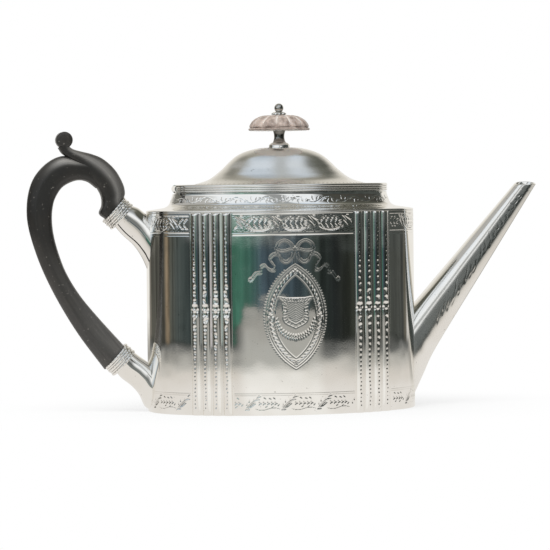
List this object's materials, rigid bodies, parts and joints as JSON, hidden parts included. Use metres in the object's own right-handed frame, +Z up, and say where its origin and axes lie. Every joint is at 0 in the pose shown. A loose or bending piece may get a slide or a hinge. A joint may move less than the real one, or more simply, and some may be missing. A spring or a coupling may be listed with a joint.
{
  "type": "silver teapot",
  "caption": "Straight-sided oval silver teapot with reeded corners, hinged domed lid with a lobed knob, straight tapered spout and carved black wooden ear handle.",
  "frame": {"origin": "centre of the underside of the base plate", "axes": "+X towards the spout, -Y towards the front of the picture, +Z up"},
  "size_m": [0.2688, 0.092, 0.1587],
  "materials": {
    "silver": "polished sterling silver, bright-cut engraved",
    "black_wood": "satin black wood",
    "pale_horn": "carved horn, satin"
  },
  "bodies": {
    "pot": {"base_plate": "silver", "body_wall": "silver", "shoulder": "silver", "spout": "silver", "upper_socket": "silver", "lower_socket": "silver", "upper_collar": "silver", "lower_collar": "silver", "handle": "black_wood", "upper_handle_pin": "silver", "lower_handle_pin": "silver", "hinge_body_knuckles": "silver", "hinge_pin": "silver"},
    "lid": {"lid_dome": "silver", "lid_rim": "silver", "lid_flange": "silver", "hinge_lid_knuckle": "silver", "finial_pedestal": "silver", "finial_knob": "pale_horn", "finial_rosette": "silver", "finial_bolt": "silver", "finial_washer": "silver", "finial_nut": "silver"}
  },
  "joints": [
    {"name": "lid_hinge", "type": "hinge", "parent": "pot", "child": "lid", "pos_m": [-0.0542, 0, 0.11485], "axis": [0, -1, 0], "range_deg": [0, 100]}
  ]
}
